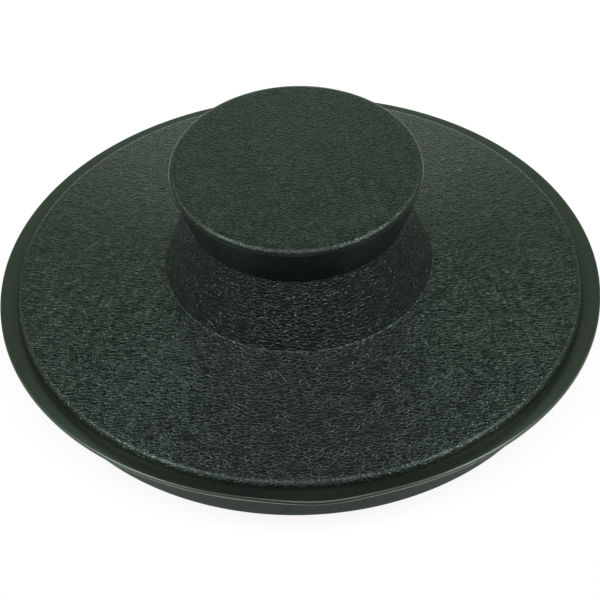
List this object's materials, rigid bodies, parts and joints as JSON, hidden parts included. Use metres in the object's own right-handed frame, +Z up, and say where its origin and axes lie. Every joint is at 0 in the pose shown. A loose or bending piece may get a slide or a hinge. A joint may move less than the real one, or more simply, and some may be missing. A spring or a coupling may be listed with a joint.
{
  "type": "drain stopper",
  "caption": "Round drain stopper with an hourglass knob on a shallow cone, a soft sealing lip and a plug that drops into the throat of a kitchen sink drain.",
  "frame": {"origin": "on the axis, in the plane of the plug's foot on which the stopper stands", "axes": "+Z up along the axis of the stopper, towards the knob; turned features repeat about it"},
  "size_m": [0.0888, 0.0888, 0.0321],
  "materials": {
    "moulded_plastic": "moulded with a leather grain, greenish black",
    "seal_rubber": "moulded smooth, greenish black",
    "stainless_steel": "plain stainless",
    "brass": "turned"
  },
  "bodies": {
    "root": {"knob_cap": "moulded_plastic", "cover": "moulded_plastic", "plug": "moulded_plastic", "seal_ring": "seal_rubber", "rubber_washer": "seal_rubber", "clamp_screw": "stainless_steel", "flat_washer": "stainless_steel", "knob_insert": "brass"}
  },
  "joints": []
}
